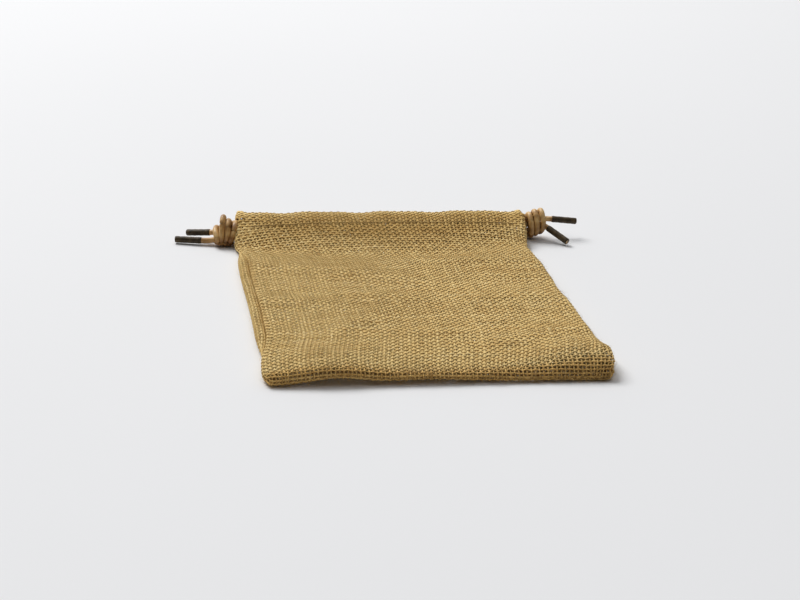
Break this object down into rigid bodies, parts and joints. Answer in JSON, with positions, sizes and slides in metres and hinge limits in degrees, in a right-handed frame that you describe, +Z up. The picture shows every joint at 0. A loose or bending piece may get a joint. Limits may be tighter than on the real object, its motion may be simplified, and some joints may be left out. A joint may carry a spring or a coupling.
{
  "type": "drawstring gift pouch",
  "caption": "Flat woven jute pouch with a folded bottom, sewn sides and a mouth gathered by two opposed drawstrings, each knotted with capped ends.",
  "frame": {"origin": "on the resting surface, under the middle of the flat pouch", "axes": "+Z up from the surface; +Y from the folded bottom to the mouth; +X to the pouch's right, seen from above with the mouth away"},
  "size_m": [0.2089, 0.2, 0.0162],
  "materials": {
    "jute_cloth": "open plain weave of natural jute, fuzzy and matt",
    "sewing_thread": "twisted cotton thread, matt",
    "drawstring_cord": "smooth round cord, satin",
    "cord_tip": "dark brown closed sleeve, satin"
  },
  "bodies": {
    "pouch_body": {"front_panel": "jute_cloth", "back_panel": "jute_cloth", "front_casing": "jute_cloth", "back_casing": "jute_cloth", "front_casing_stitching": "sewing_thread", "back_casing_stitching": "sewing_thread", "left_seam_stitching": "sewing_thread", "left_seam_overlock": "sewing_thread", "right_seam_stitching": "sewing_thread", "right_seam_overlock": "sewing_thread", "left_seam_allowance": "jute_cloth", "right_seam_allowance": "jute_cloth"},
    "left_drawstring_loop": {"left_drawstring": "drawstring_cord", "left_knot": "drawstring_cord", "left_upper_tail": "drawstring_cord", "left_upper_cord_tip": "cord_tip", "left_lower_tail": "drawstring_cord", "left_lower_cord_tip": "cord_tip"},
    "right_mouth_end": {"right_mouth_corner": "jute_cloth"},
    "right_drawstring_loop": {"right_drawstring": "drawstring_cord", "right_knot": "drawstring_cord", "right_upper_tail": "drawstring_cord", "right_upper_cord_tip": "cord_tip", "right_lower_tail": "drawstring_cord", "right_lower_cord_tip": "cord_tip"},
    "left_mouth_end": {"left_mouth_corner": "jute_cloth"}
  },
  "joints": [
    {"name": "left_drawstring_pull", "type": "slide", "parent": "pouch_body", "child": "left_drawstring_loop", "axis": [-1, 0, 0], "range_m": [0, 0.04]},
    {"name": "right_mouth_gather", "type": "slide", "parent": "pouch_body", "child": "right_mouth_end", "axis": [-1, 0, 0], "range_m": [0, 0.04], "deforming": ["front_casing", "back_casing", "front_casing_stitching", "back_casing_stitching"]},
    {"name": "right_drawstring_pull", "type": "slide", "parent": "pouch_body", "child": "right_drawstring_loop", "axis": [1, 0, 0], "range_m": [0, 0.04]},
    {"name": "left_mouth_gather", "type": "slide", "parent": "pouch_body", "child": "left_mouth_end", "axis": [1, 0, 0], "range_m": [0, 0.04], "deforming": ["front_casing", "back_casing", "front_casing_stitching", "back_casing_stitching"]}
  ],
  "couplings": [
    {"joint": "right_mouth_gather", "follows": "left_drawstring_pull", "ratio": 1},
    {"joint": "left_mouth_gather", "follows": "right_drawstring_pull", "ratio": 1}
  ]
}
